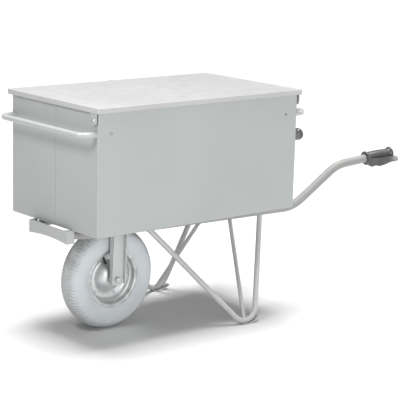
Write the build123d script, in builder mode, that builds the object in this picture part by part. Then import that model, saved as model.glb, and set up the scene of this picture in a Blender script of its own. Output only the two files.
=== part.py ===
"""Steel tool-box wheelbarrow: one front wheel, a lidded sheet-steel box on two bent handle
rails, V-shaped tube legs, carry handles on both box ends and moulded safety grips.

Millimetres.  +X points from the wheel towards the grips, Z = 0 is the ground, and Y = 0 is
the centre plane.  "Near" pieces are on the -Y side, "far" pieces are their mirror images."""
from build123d import *
from math import cos, radians, sin
import os

# ---------------------------------------------------------------- driving dimensions
BOX_LENGTH = 954.0
BOX_WIDTH = 548.0
BOX_BOTTOM_Z = 434.0
BOX_FRONT_X = -730.33         # puts X = 0 half way along the whole barrow
SHEET = 1.5                   # gauge of the box, floor and lid sheet
CORNER_RADIUS = 3.0
HEM_WIDTH = 12.0              # the wall's top edge is turned inwards by this much
SEAM_GAP = 1.0                # between the two half shells, in each end wall
SEAM_Y = -14.0                # the half shells meet a little to the near side
FLOOR_FLANGE = 25.0

LID_TOP_Z = 903.0
LID_OVERHANG_X = 12.0
LID_OVERHANG_Y = 16.0
LID_FLANGE = 19.0
BUFFER_HEIGHT = 2.4
BUFFER_GAP = 0.1              # left between a closed lid and its rubber buffers
STIFFENER_WIDTH = 40.0
STIFFENER_HEIGHT = 14.0
STIFFENER_LENGTH = 450.0      # its ends swing clear of the near wall's hem

HINGE_INSET_Y = 13.0          # pivot inboard of the near wall's outer face
HINGE_DROP_Z = 47.0           # pivot below the lid's top
HINGE_PLATE = 3.0
HINGE_PLATE_WIDTH = 34.0
HINGE_EYE_RADIUS = 15.0
HINGE_PIN_RADIUS = 5.0
HINGE_HEAD_RADIUS = 8.0
RUNNING_CLEARANCE = 0.08

CARRY_TUBE_RADIUS = 10.65
CARRY_TUBE_WALL = 2.0
CARRY_STANDOFF = 62.0         # bar centreline ahead of the end wall
CARRY_Z = 807.0
CARRY_BEND = 40.0
CARRY_TAIL = 78.0             # length of tube inside the box
CARRY_SCREW_X = 56.0          # screw behind the end wall

RAIL_RADIUS = 16.85
RAIL_WALL = 2.0
BEARER_THICKNESS = 4.0
RAIL_Z = BOX_BOTTOM_Z - BEARER_THICKNESS - RAIL_RADIUS

CROSSBAR_FRONT = -25.0        # measured from the box's front wall
CROSSBAR_DEPTH = 35.0
CROSSBAR_HALF = 122.0
CROSSBAR_BOTTOM_Z = 385.0
CROSSBAR_PLATE = 4.0
CROSSBAR_ARCH = 8.0

WHEEL_RADIUS = 200.0
TYRE_HALF_WIDTH = 50.0
WHEEL_X = BOX_FRONT_X + 248.0
RIM_SHEET = 2.5
RIM_SEAT_RADIUS = 102.8
RIM_FLANGE_RADIUS = 114.0
RIM_FLANGE_OFFSET = 42.0
HUB_RADIUS = 22.0
HUB_HALF_LENGTH = 50.0
AXLE_RADIUS = 10.0
AXLE_BOLT_RADIUS = 6.0
RIM_BOLT_CIRCLE = 79.0
RIM_BOLT_COUNT = 5
VALVE_ANGLE = 114.0
VALVE_OFFSET = 26.0

FORK_INNER = 62.0             # inner face of a fork leg from the centre plane
FORK_PLATE = 4.0
FORK_WIDTH = 63.0
FORK_FLANGE_TOP = 25.0
FORK_FLANGE_BOTTOM = 11.0
FORK_BOTTOM_Z = 178.0

LEG_RADIUS = 10.65
LEG_WALL = 2.0
LEG_BEND = 60.0
BRACE_RADIUS = 8.0
SHOE_THICKNESS = 4.0
SHOE_RADIUS = 115.0
SHOE_WIDTH = 32.0
CROSS_TUBE_RADIUS = 13.45
CROSS_TUBE_X = BOX_FRONT_X + 812.0

GRIP_TUBE_INSET = 120.0       # length of rail inside a grip
GUARD_THICKNESS = 4.0

# ---------------------------------------------------------------- derived places
BOX_CENTRE_X = BOX_FRONT_X + BOX_LENGTH / 2
HALF_WIDTH = BOX_WIDTH / 2
BOX_TOP_Z = LID_TOP_Z - SHEET - BUFFER_HEIGHT - BUFFER_GAP
HINGE_Y = -(HALF_WIDTH - HINGE_INSET_Y)
HINGE_Z = LID_TOP_Z - HINGE_DROP_Z
CARRY_Y = HALF_WIDTH - SHEET - CARRY_TUBE_RADIUS
END_FACES = Plane.YZ.offset(BOX_CENTRE_X)     # mirror plane between the box's two ends


def box_point(x, half_spacing, z):
    """A point on the near side, given from the box's front wall."""
    return Vector(BOX_FRONT_X + x, -half_spacing, z)


RAIL_POINTS = [
    box_point(-40, 71.3, RAIL_Z),     # carries on past the crossbar, and is cut off at its back
    box_point(70, 135, RAIL_Z),       # turns parallel to the box
    box_point(1029, 196, RAIL_Z),     # starts to climb behind the box
    box_point(1236, 229, 568),        # levels out for the grip
    box_point(1490, 273, 598.5),      # bare end inside the grip
]
RAIL_BENDS = [80.0, 150.0, 150.0]
LEG_POINTS = [
    box_point(330.4, 149.6, 402),     # front arm, on the rail
    box_point(738, 307, -48.4),       # where the two arms would meet
    box_point(861, 183, 404),         # rear arm, on the rail
]
FOOT_X = 709.0                        # lowest point of the leg's bend
FOOT_SPACING = 284.0
BRACE_BOTTOM = box_point(711, 277, 19)
BRACE_TOP = box_point(812, 46, RAIL_Z)


# ---------------------------------------------------------------- shared helpers
def save(piece, node):
    """Label a finished piece and write it as one node."""
    piece.part.label = node
    os.makedirs("parts", exist_ok=True)
    export_step(piece.part, f"parts/{node}.step")


def mirrored(piece, about=Plane.XZ):
    """The same piece on the other side of a plane."""
    with BuildPart() as other:
        mirror(piece.part, about=about)
    return other


def bent_tube(points, bends, radius, wall=0.0):
    """A round tube, or a bar when wall is 0, along straight runs joined by arcs."""
    with BuildPart() as tube:
        with BuildLine() as route:
            if bends:
                FilletPolyline(*points, radius=bends)
            else:
                Polyline(*points)
        with BuildSketch(Plane(origin=route.line @ 0, z_dir=route.line % 0)):
            Circle(radius)
            if wall:
                Circle(radius - wall, mode=Mode.SUBTRACT)
        sweep(path=route.line)
    return tube


def screw(plane, head_radius, head_height, shank_radius, length, socket=0.0, sides=0, dome=0.0):
    """A screw or bolt whose head stands on `plane` and whose shank runs to -Z of it."""
    with BuildPart() as fastener:
        with BuildSketch(plane):
            if sides:
                RegularPolygon(head_radius, sides)
            else:
                Circle(head_radius)
        extrude(amount=head_height)
        if dome:
            top = fastener.faces().sort_by(Axis(plane.origin, plane.z_dir))[-1]
            fillet(top.edges(), radius=dome)
        with BuildSketch(plane):
            Circle(shank_radius)
        extrude(amount=-length)
        if socket:
            with BuildSketch(plane.offset(head_height)):
                RegularPolygon(socket, 6)
            extrude(amount=-head_height * 0.6, mode=Mode.SUBTRACT)
    return fastener


def ring(plane, outer, inner, height, sides=0):
    """A washer, bush or nut standing on `plane`."""
    with BuildPart() as collar:
        with BuildSketch(plane):
            if sides:
                RegularPolygon(outer, sides)
            else:
                Circle(outer)
            Circle(inner, mode=Mode.SUBTRACT)
        extrude(amount=height)
    return collar


def grouped(pieces):
    """Several separate solids as one node."""
    with BuildPart() as group:
        for piece in pieces:
            add(piece.part)
    return group


def cut(piece, *tools):
    """A piece with other pieces' solids taken away from it."""
    with BuildPart() as trimmed:
        add(piece.part)
        for tool in tools:
            add(tool.part, mode=Mode.SUBTRACT)
    return trimmed


def y_plane(x, y, z, outward):
    """A plane at a point, facing along -Y (outward = -1) or +Y (outward = 1)."""
    return Plane(origin=(x, y, z), x_dir=(1, 0, 0), z_dir=(0, outward, 0))


def x_plane(x, y, z, outward):
    """A plane at a point, facing along -X (outward = -1) or +X (outward = 1)."""
    return Plane(origin=(x, y, z), x_dir=(0, 1, 0), z_dir=(outward, 0, 0))


# ---------------------------------------------------------------- box
SCREW_RADIUS = 3.0
SCREW_HEAD_RADIUS = 5.2
SCREW_HEAD = 3.0
HINGE_NUT = 8.0


def box_shell():
    """The whole four-walled ring with its turned-in top edge and its holes."""
    with BuildPart() as shell:
        with BuildSketch(Plane.XY.offset(BOX_BOTTOM_Z)):
            with Locations((BOX_CENTRE_X, 0)):
                RectangleRounded(BOX_LENGTH, BOX_WIDTH, CORNER_RADIUS)
                RectangleRounded(BOX_LENGTH - 2 * SHEET, BOX_WIDTH - 2 * SHEET,
                                 CORNER_RADIUS - SHEET, mode=Mode.SUBTRACT)
        extrude(amount=BOX_TOP_Z - BOX_BOTTOM_Z)
        with BuildSketch(Plane.XY.offset(BOX_TOP_Z)):
            with Locations((BOX_CENTRE_X, 0)):
                Rectangle(BOX_LENGTH - 2 * SHEET, BOX_WIDTH - 2 * SHEET)
                Rectangle(BOX_LENGTH - 2 * HEM_WIDTH, BOX_WIDTH - 2 * HEM_WIDTH,
                          mode=Mode.SUBTRACT)
        extrude(amount=-SHEET)
        for end_x, outward in ((BOX_FRONT_X, 1), (BOX_FRONT_X + BOX_LENGTH, -1)):
            for side in (-1, 1):
                with BuildSketch(x_plane(end_x, side * CARRY_Y, CARRY_Z, outward)):
                    Circle(CARRY_TUBE_RADIUS)
                extrude(amount=2 * SHEET, mode=Mode.SUBTRACT)
                screw_x = end_x + outward * CARRY_SCREW_X
                with BuildSketch(y_plane(screw_x, side * HALF_WIDTH, CARRY_Z, -side)):
                    Circle(SCREW_RADIUS)
                extrude(amount=2 * SHEET, mode=Mode.SUBTRACT)
            with BuildSketch(x_plane(end_x, HINGE_Y, HINGE_Z, outward)):
                Circle(HINGE_PIN_RADIUS)
            extrude(amount=2 * SHEET, mode=Mode.SUBTRACT)
        with Locations((BOX_CENTRE_X, SEAM_Y, (BOX_BOTTOM_Z + BOX_TOP_Z) / 2)):
            Box(2 * BOX_LENGTH, SEAM_GAP, BOX_TOP_Z, mode=Mode.SUBTRACT)
    return shell


whole_shell = box_shell()
SEAM_PLANE = Plane.XZ.offset(-SEAM_Y)

with BuildPart() as near_side_panel:
    add(whole_shell.part)
    split(bisect_by=SEAM_PLANE, keep=Keep.TOP)
save(near_side_panel, "near_side_panel")

with BuildPart() as far_side_panel:
    add(whole_shell.part)
    split(bisect_by=SEAM_PLANE, keep=Keep.BOTTOM)
save(far_side_panel, "far_side_panel")

SEAM_STRIP_WIDTH = 40.0
SEAM_STRIP_TOP = BOX_TOP_Z - SHEET
SEAM_STRIP_BOTTOM = BOX_BOTTOM_Z + FLOOR_FLANGE
with BuildPart() as seam_strips:
    for end_x, outward in ((BOX_FRONT_X, 1), (BOX_FRONT_X + BOX_LENGTH, -1)):
        middle_z = (SEAM_STRIP_TOP + SEAM_STRIP_BOTTOM) / 2
        with BuildSketch(x_plane(end_x + outward * SHEET, SEAM_Y, middle_z, outward)):
            Rectangle(SEAM_STRIP_WIDTH, SEAM_STRIP_TOP - SEAM_STRIP_BOTTOM)
        extrude(amount=SHEET)
save(seam_strips, "seam_strips")

FLOOR_CLEARANCE = 0.1
BOLT_RADIUS = 4.0
BEARER_BOLTS = {248.0: 110.0, 500.0: 120.0, 880.0: 120.0}   # bearer place: bolt spacing
BEARER_SIZES = {248.0: (90.0, 340.0), 500.0: (40.0, 370.0), 880.0: (40.0, 410.0)}


def bearer_bolt_places():
    for bearer_x, spacing in BEARER_BOLTS.items():
        for side in (-1, 1):
            yield BOX_FRONT_X + bearer_x, side * spacing


FLOOR_LENGTH = BOX_LENGTH - 2 * (SHEET + FLOOR_CLEARANCE)
FLOOR_WIDTH = BOX_WIDTH - 2 * (SHEET + FLOOR_CLEARANCE)
FLOOR_CORNER_RADIUS = 3.0
with BuildPart() as floor_pan:
    with BuildSketch(Plane.XY.offset(BOX_BOTTOM_Z)):
        with Locations((BOX_CENTRE_X, 0)):
            RectangleRounded(FLOOR_LENGTH, FLOOR_WIDTH, FLOOR_CORNER_RADIUS)
    extrude(amount=FLOOR_FLANGE)
    with BuildSketch(Plane.XY.offset(BOX_BOTTOM_Z + SHEET)):
        with Locations((BOX_CENTRE_X, 0)):
            RectangleRounded(FLOOR_LENGTH - 2 * SHEET, FLOOR_WIDTH - 2 * SHEET,
                             FLOOR_CORNER_RADIUS - SHEET)
    extrude(amount=FLOOR_FLANGE, mode=Mode.SUBTRACT)
    with BuildSketch(Plane.XY.offset(BOX_BOTTOM_Z)):
        with Locations(*bearer_bolt_places()):
            Circle(BOLT_RADIUS)
    extrude(amount=SHEET, mode=Mode.SUBTRACT)
save(floor_pan, "floor_pan")

# ---------------------------------------------------------------- lid
LID_LENGTH = BOX_LENGTH + 2 * LID_OVERHANG_X
LID_WIDTH = BOX_WIDTH + 2 * LID_OVERHANG_Y
LID_CORNER_RADIUS = 4.0
LID_EDGE_RADIUS = 2.5
with BuildPart() as lid_panel:
    with BuildSketch(Plane.XY.offset(LID_TOP_Z)):
        with Locations((BOX_CENTRE_X, 0)):
            RectangleRounded(LID_LENGTH, LID_WIDTH, LID_CORNER_RADIUS)
    extrude(amount=-LID_FLANGE)
    fillet(lid_panel.faces().sort_by(Axis.Z)[-1].edges(), radius=LID_EDGE_RADIUS)
    offset(amount=-SHEET, openings=lid_panel.faces().sort_by(Axis.Z)[0])
save(lid_panel, "lid_panel")

LID_UNDERSIDE_Z = LID_TOP_Z - SHEET
STIFFENER_SHEET = 1.5
STIFFENER_FOOT = 12.0
STIFFENER_SPACING = 420.0
with BuildPart() as lid_stiffeners:
    for side in (-1, 1):
        centre = (BOX_CENTRE_X + side * STIFFENER_SPACING / 2, 0, LID_UNDERSIDE_Z)
        with BuildSketch(Plane(origin=centre, x_dir=(1, 0, 0), z_dir=(0, -1, 0))):
            crown = STIFFENER_WIDTH - 2 * STIFFENER_FOOT
            Rectangle(STIFFENER_WIDTH, STIFFENER_SHEET, align=(Align.CENTER, Align.MAX))
            Rectangle(crown, STIFFENER_HEIGHT, align=(Align.CENTER, Align.MAX))
            Rectangle(crown - 2 * STIFFENER_SHEET, STIFFENER_HEIGHT - STIFFENER_SHEET,
                      align=(Align.CENTER, Align.MAX), mode=Mode.SUBTRACT)
        extrude(amount=STIFFENER_LENGTH / 2, both=True)
save(lid_stiffeners, "lid_stiffeners")

BUFFER_RADIUS = 5.0
BUFFER_SPACING = 400.0        # the buffers stand on the hems of the two end walls
with BuildPart() as lid_buffers:
    with BuildSketch(Plane.XY.offset(BOX_TOP_Z)):
        with Locations((BOX_CENTRE_X, 0)):
            with GridLocations(BOX_LENGTH - SHEET - HEM_WIDTH, BUFFER_SPACING, 2, 2):
                Circle(BUFFER_RADIUS)
    extrude(amount=BUFFER_HEIGHT)
save(lid_buffers, "lid_buffers")

# ---------------------------------------------------------------- lid hinge
HINGE_PLATE_X = BOX_FRONT_X - LID_OVERHANG_X + SHEET      # outer face of the front plate
HINGE_PLATE_OUTBOARD = -HINGE_EYE_RADIUS
HINGE_PLATE_INBOARD = HINGE_PLATE_WIDTH - HINGE_EYE_RADIUS
HINGE_PLATE_TOP = LID_UNDERSIDE_Z - LID_EDGE_RADIUS / 2 - HINGE_Z     # clear of the lid's bend
with BuildPart() as front_hinge_plate:
    with BuildSketch(x_plane(HINGE_PLATE_X, HINGE_Y, HINGE_Z, 1)):
        Circle(HINGE_EYE_RADIUS)
        with BuildLine():
            Polyline((HINGE_PLATE_OUTBOARD, 0), (HINGE_PLATE_OUTBOARD, HINGE_PLATE_TOP),
                     (HINGE_PLATE_INBOARD, HINGE_PLATE_TOP), (HINGE_PLATE_INBOARD, LID_FLANGE),
                     (HINGE_EYE_RADIUS, 0), close=True)
        make_face()
        Circle(HINGE_PIN_RADIUS + RUNNING_CLEARANCE, mode=Mode.SUBTRACT)
    extrude(amount=HINGE_PLATE)
save(front_hinge_plate, "front_hinge_plate")
save(mirrored(front_hinge_plate, END_FACES), "rear_hinge_plate")

HINGE_SIDE_GAP = 0.2
HINGE_HEAD = 5.0
HINGE_NUT_RADIUS = 9.0
HINGE_STOP_X = HINGE_PLATE_X - HINGE_SIDE_GAP
HINGE_BUSH_X = HINGE_PLATE_X + HINGE_PLATE + HINGE_SIDE_GAP
HINGE_BOLT_LENGTH = BOX_FRONT_X + SHEET + HINGE_NUT + 2 - HINGE_STOP_X

front_hinge_bolt = screw(x_plane(HINGE_STOP_X, HINGE_Y, HINGE_Z, -1), HINGE_HEAD_RADIUS,
                         HINGE_HEAD, HINGE_PIN_RADIUS, HINGE_BOLT_LENGTH, socket=3.5, dome=2.0)
save(grouped([front_hinge_bolt, mirrored(front_hinge_bolt, END_FACES)]), "hinge_bolts")

front_hinge_bush = ring(x_plane(HINGE_BUSH_X, HINGE_Y, HINGE_Z, 1), HINGE_HEAD_RADIUS,
                        HINGE_PIN_RADIUS, BOX_FRONT_X - HINGE_BUSH_X)
save(grouped([front_hinge_bush, mirrored(front_hinge_bush, END_FACES)]), "hinge_bushes")

front_hinge_nut = ring(x_plane(BOX_FRONT_X + SHEET, HINGE_Y, HINGE_Z, 1), HINGE_NUT_RADIUS,
                       HINGE_PIN_RADIUS, HINGE_NUT, sides=6)
save(grouped([front_hinge_nut, mirrored(front_hinge_nut, END_FACES)]), "hinge_nuts")

# ---------------------------------------------------------------- padlock eye and lid tab
TAB_LENGTH = 44.0
TAB_REACH = 21.5
TAB_THICKNESS = 3.0
EYE_THICKNESS = 5.0
EYE_INNER_Y = HALF_WIDTH + LID_OVERHANG_Y + 3.0
EYE_OUTER_Y = EYE_INNER_Y + 13.5
EYE_HOLE_RADIUS = 4.5
EYE_HOLE_Z = LID_TOP_Z - 7.5
EYE_FOOT_Z = 845.0
SLOT_LENGTH = EYE_THICKNESS + 3.0
with BuildPart() as lid_lock_tab:
    tab_z = LID_TOP_Z - LID_FLANGE
    with BuildSketch(Plane.XY.offset(tab_z)):
        with Locations((BOX_CENTRE_X, HALF_WIDTH + LID_OVERHANG_Y)):
            Rectangle(TAB_LENGTH, TAB_REACH, align=(Align.CENTER, Align.MIN))
        with Locations((BOX_CENTRE_X, (EYE_INNER_Y + EYE_OUTER_Y) / 2 + 0.7)):
            Rectangle(SLOT_LENGTH, EYE_OUTER_Y - EYE_INNER_Y + 3.4, mode=Mode.SUBTRACT)
    extrude(amount=TAB_THICKNESS)
    tab_corners = lid_lock_tab.edges().filter_by(Axis.Z).group_by(Axis.Y)[-1]
    fillet(tab_corners, radius=5)
save(lid_lock_tab, "lid_lock_tab")

with BuildPart() as padlock_eye:
    with BuildSketch(Plane(origin=(BOX_CENTRE_X, 0, 0), x_dir=(0, 1, 0), z_dir=(1, 0, 0))):
        with BuildLine():
            Polyline((HALF_WIDTH, EYE_FOOT_Z), (HALF_WIDTH, EYE_FOOT_Z + 30),
                     (EYE_INNER_Y, EYE_FOOT_Z + 30), (EYE_INNER_Y, LID_TOP_Z - 0.5),
                     (EYE_OUTER_Y, LID_TOP_Z - 0.5), (EYE_OUTER_Y, EYE_FOOT_Z + 15),
                     close=True)
        make_face()
        with Locations(((EYE_INNER_Y + EYE_OUTER_Y) / 2, EYE_HOLE_Z)):
            Circle(EYE_HOLE_RADIUS, mode=Mode.SUBTRACT)
    extrude(amount=EYE_THICKNESS / 2, both=True)
    eye_corners = padlock_eye.edges().filter_by(Axis.X).group_by(Axis.Z)[-1]
    fillet(eye_corners, radius=2.5)
save(padlock_eye, "padlock_eye")

# ---------------------------------------------------------------- carry handles
front_carry_tube = bent_tube(
    [(BOX_FRONT_X + CARRY_TAIL, -CARRY_Y, CARRY_Z),
     (BOX_FRONT_X - CARRY_STANDOFF, -CARRY_Y, CARRY_Z),
     (BOX_FRONT_X - CARRY_STANDOFF, CARRY_Y, CARRY_Z),
     (BOX_FRONT_X + CARRY_TAIL, CARRY_Y, CARRY_Z)],
    [CARRY_BEND, CARRY_BEND], CARRY_TUBE_RADIUS, CARRY_TUBE_WALL)
with BuildPart() as front_carry_handle:
    add(front_carry_tube.part)
    for side in (-1, 1):
        with BuildSketch(y_plane(BOX_FRONT_X + CARRY_SCREW_X, side * HALF_WIDTH, CARRY_Z, -side)):
            Circle(SCREW_RADIUS)
        extrude(amount=2 * CARRY_TUBE_RADIUS + 3 * SHEET, mode=Mode.SUBTRACT)
save(front_carry_handle, "front_carry_handle")
save(mirrored(front_carry_handle, END_FACES), "rear_carry_handle")

SCREW_NUT = 5.0
SCREW_NUT_RADIUS = 5.8
SCREW_GRIP = SHEET + 2 * CARRY_TUBE_RADIUS
CARRY_SCREW_PLACES = [(BOX_FRONT_X + CARRY_SCREW_X, -1), (BOX_FRONT_X + CARRY_SCREW_X, 1),
                      (BOX_FRONT_X + BOX_LENGTH - CARRY_SCREW_X, -1),
                      (BOX_FRONT_X + BOX_LENGTH - CARRY_SCREW_X, 1)]
save(grouped([
    screw(y_plane(screw_x, side * HALF_WIDTH, CARRY_Z, side), SCREW_HEAD_RADIUS, SCREW_HEAD,
          SCREW_RADIUS, SCREW_GRIP + SCREW_NUT + 2, socket=2.2, dome=1.2)
    for screw_x, side in CARRY_SCREW_PLACES]), "carry_handle_screws")
save(grouped([
    ring(y_plane(screw_x, side * (HALF_WIDTH - SCREW_GRIP), CARRY_Z, -side),
         SCREW_NUT_RADIUS, SCREW_RADIUS, SCREW_NUT, sides=6)
    for screw_x, side in CARRY_SCREW_PLACES]), "carry_handle_nuts")

# ---------------------------------------------------------------- chassis
CROSSBAR_FACE = BOX_FRONT_X + CROSSBAR_FRONT
with BuildPart() as front_crossbar:
    with BuildSketch(Plane(origin=(CROSSBAR_FACE, 0, 0), x_dir=(0, 1, 0), z_dir=(1, 0, 0))):
        with BuildLine():
            Polyline((-CROSSBAR_HALF, CROSSBAR_BOTTOM_Z), (-CROSSBAR_HALF, BOX_BOTTOM_Z),
                     (CROSSBAR_HALF, BOX_BOTTOM_Z), (CROSSBAR_HALF, CROSSBAR_BOTTOM_Z))
            ThreePointArc((CROSSBAR_HALF, CROSSBAR_BOTTOM_Z),
                          (0, CROSSBAR_BOTTOM_Z + CROSSBAR_ARCH),
                          (-CROSSBAR_HALF, CROSSBAR_BOTTOM_Z))
        make_face()
    extrude(amount=CROSSBAR_DEPTH)
    with Locations((CROSSBAR_FACE + CROSSBAR_PLATE + CROSSBAR_DEPTH, 0, BOX_BOTTOM_Z)):
        Box(2 * CROSSBAR_DEPTH, 2 * (CROSSBAR_HALF - CROSSBAR_PLATE), BOX_BOTTOM_Z,
            mode=Mode.SUBTRACT)
save(front_crossbar, "front_crossbar")

near_rail_envelope = bent_tube(RAIL_POINTS, RAIL_BENDS, RAIL_RADIUS)
with BuildPart() as ahead_of_rails:
    with Locations((CROSSBAR_FACE + CROSSBAR_PLATE, 0, RAIL_Z)):
        Box(CROSSBAR_DEPTH * 2, 4 * CROSSBAR_HALF, 2 * CROSSBAR_HALF,
            align=(Align.MAX, Align.CENTER, Align.CENTER))
near_handle_rail = cut(bent_tube(RAIL_POINTS, RAIL_BENDS, RAIL_RADIUS, RAIL_WALL), ahead_of_rails,
                       front_crossbar)
save(near_handle_rail, "near_handle_rail")
save(mirrored(near_handle_rail), "far_handle_rail")

BEARER_NAMES = {248.0: "fork_bridge_plate", 500.0: "middle_floor_bearer",
                880.0: "rear_floor_bearer"}
for bearer_x, (length_x, length_y) in BEARER_SIZES.items():
    with BuildPart() as bearer:
        with BuildSketch(Plane.XY.offset(BOX_BOTTOM_Z)):
            with Locations((BOX_FRONT_X + bearer_x, 0)):
                RectangleRounded(length_x, length_y, 6)
                with GridLocations(0, 2 * BEARER_BOLTS[bearer_x], 1, 2):
                    Circle(BOLT_RADIUS, mode=Mode.SUBTRACT)
        extrude(amount=-BEARER_THICKNESS)
    save(bearer, BEARER_NAMES[bearer_x])

BOLT_HEAD = 4.0
BOLT_HEAD_RADIUS = 9.0
BOLT_NUT = 6.5
BOLT_NUT_RADIUS = 7.5
save(grouped([
    screw(Plane(origin=(bolt_x, bolt_y, BOX_BOTTOM_Z + SHEET)), BOLT_HEAD_RADIUS, BOLT_HEAD,
          BOLT_RADIUS, SHEET + BEARER_THICKNESS + BOLT_NUT + 2, dome=2.5)
    for bolt_x, bolt_y in bearer_bolt_places()]), "floor_bolts")
save(grouped([
    ring(Plane(origin=(bolt_x, bolt_y, BOX_BOTTOM_Z - BEARER_THICKNESS), z_dir=(0, 0, -1)),
         BOLT_NUT_RADIUS, BOLT_RADIUS, BOLT_NUT, sides=6)
    for bolt_x, bolt_y in bearer_bolt_places()]), "floor_bolt_nuts")

cross_tube_ends = [(CROSS_TUBE_X, -182, RAIL_Z), (CROSS_TUBE_X, 182, RAIL_Z)]
cross_tube_envelope = bent_tube(cross_tube_ends, [], CROSS_TUBE_RADIUS)
far_rail_envelope = mirrored(near_rail_envelope)
rear_cross_tube = cut(bent_tube(cross_tube_ends, [], CROSS_TUBE_RADIUS, LEG_WALL),
                      near_rail_envelope, far_rail_envelope)
save(rear_cross_tube, "rear_cross_tube")

# ---------------------------------------------------------------- legs
near_leg_envelope = bent_tube(LEG_POINTS, [LEG_BEND], LEG_RADIUS)
near_leg = cut(bent_tube(LEG_POINTS, [LEG_BEND], LEG_RADIUS, LEG_WALL), near_rail_envelope)
save(near_leg, "near_leg")
save(mirrored(near_leg), "far_leg")

near_leg_brace = cut(bent_tube([BRACE_BOTTOM, BRACE_TOP], [], BRACE_RADIUS, LEG_WALL),
                     near_leg_envelope, cross_tube_envelope)
save(near_leg_brace, "near_leg_brace")
save(mirrored(near_leg_brace), "far_leg_brace")

SHOE_START = -10.0            # degrees from straight down, towards the wheel
SHOE_END = 34.0               # degrees from straight down, towards the grips
with BuildPart() as near_foot_shoe:
    centre = box_point(FOOT_X + 3, FOOT_SPACING, SHOE_RADIUS)
    with BuildSketch(Plane(origin=centre, x_dir=(1, 0, 0), z_dir=(0, -1, 0))):
        with BuildLine():
            CenterArc((0, 0), SHOE_RADIUS, SHOE_START - 90, SHOE_END - SHOE_START)
            CenterArc((0, 0), SHOE_RADIUS - SHOE_THICKNESS, SHOE_START - 90,
                      SHOE_END - SHOE_START)
            for angle in (SHOE_START, SHOE_END):
                reach = Vector(sin(radians(angle)), -cos(radians(angle)))
                Line(reach * (SHOE_RADIUS - SHOE_THICKNESS), reach * SHOE_RADIUS)
        make_face()
    extrude(amount=SHOE_WIDTH / 2, both=True)
    add(near_leg_envelope.part, mode=Mode.SUBTRACT)
save(near_foot_shoe, "near_foot_shoe")
save(mirrored(near_foot_shoe), "far_foot_shoe")

# ---------------------------------------------------------------- fork
FORK_TOP_Z = BOX_BOTTOM_Z - BEARER_THICKNESS
FORK_CORNER = 14.0
with BuildPart() as near_fork_leg:
    with BuildSketch(y_plane(WHEEL_X, -FORK_INNER, FORK_BOTTOM_Z, -1)):
        Rectangle(FORK_WIDTH, FORK_TOP_Z - FORK_BOTTOM_Z, align=(Align.CENTER, Align.MIN))
    extrude(amount=FORK_PLATE + FORK_FLANGE_TOP)
    fillet(near_fork_leg.edges().filter_by(Axis.Y).group_by(Axis.Z)[0], radius=FORK_CORNER)
    with BuildSketch(y_plane(WHEEL_X, -FORK_INNER - FORK_PLATE, FORK_BOTTOM_Z, -1)):
        Rectangle(FORK_WIDTH - 2 * FORK_PLATE, 2 * FORK_TOP_Z)
    extrude(amount=FORK_FLANGE_TOP, mode=Mode.SUBTRACT)
    with BuildSketch(Plane(origin=(WHEEL_X, 0, 0), x_dir=(0, 1, 0), z_dir=(1, 0, 0))):
        face_y = -FORK_INNER - FORK_PLATE
        with BuildLine():
            Polyline((face_y - FORK_FLANGE_TOP, FORK_TOP_Z),
                     (face_y - FORK_FLANGE_BOTTOM, FORK_BOTTOM_Z),
                     (face_y - 2 * FORK_FLANGE_TOP, FORK_BOTTOM_Z), close=True)
        make_face()
    extrude(amount=FORK_WIDTH, both=True, mode=Mode.SUBTRACT)
    with BuildSketch(y_plane(WHEEL_X, -FORK_INNER, WHEEL_RADIUS, -1)):
        Circle(AXLE_BOLT_RADIUS)
    extrude(amount=FORK_PLATE, mode=Mode.SUBTRACT)
save(near_fork_leg, "near_fork_leg")
save(mirrored(near_fork_leg), "far_fork_leg")

# ---------------------------------------------------------------- axle
BUSH_FLANGE = 4.0
BUSH_FLANGE_RADIUS = 23.0
BUSH_RADIUS = 17.0
BUSH_LENGTH = 24.0
SPACER_RADIUS = 14.0
END_FLOAT = 0.4
WASHER = 3.0
WASHER_RADIUS = 12.0
AXLE_HEAD = 8.0
AXLE_HEX_RADIUS = 10.5
AXLE_NUT = 10.0
FORK_OUTER = FORK_INNER + FORK_PLATE
AXLE_BOLT_LENGTH = 2 * (FORK_OUTER + WASHER) + AXLE_NUT + 4
save(screw(y_plane(WHEEL_X, -FORK_OUTER - WASHER, WHEEL_RADIUS, -1), AXLE_HEX_RADIUS,
           AXLE_HEAD, AXLE_BOLT_RADIUS, AXLE_BOLT_LENGTH, sides=6), "axle_bolt")
save(ring(y_plane(WHEEL_X, FORK_OUTER + WASHER, WHEEL_RADIUS, 1), AXLE_HEX_RADIUS,
          AXLE_BOLT_RADIUS, AXLE_NUT, sides=6), "axle_nut")
save(grouped([
    ring(y_plane(WHEEL_X, side * FORK_OUTER, WHEEL_RADIUS, side), WASHER_RADIUS,
         AXLE_BOLT_RADIUS, WASHER)
    for side in (-1, 1)]), "axle_washers")
save(ring(y_plane(WHEEL_X, -FORK_INNER, WHEEL_RADIUS, 1), AXLE_RADIUS, AXLE_BOLT_RADIUS,
          2 * FORK_INNER), "axle_sleeve")

SPACER_START = HUB_HALF_LENGTH + BUSH_FLANGE + END_FLOAT
save(grouped([
    ring(y_plane(WHEEL_X, side * SPACER_START, WHEEL_RADIUS, side), SPACER_RADIUS,
         AXLE_RADIUS, FORK_INNER - SPACER_START)
    for side in (-1, 1)]), "axle_spacers")

# ---------------------------------------------------------------- wheel
axle_axis = Axis((WHEEL_X, 0, WHEEL_RADIUS), (0, 1, 0))
# Half section of the wheel: local X runs out to the near side, local Y is the radius.
wheel_section = Plane(origin=(WHEEL_X, 0, WHEEL_RADIUS), x_dir=(0, -1, 0), z_dir=(-1, 0, 0))

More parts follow.
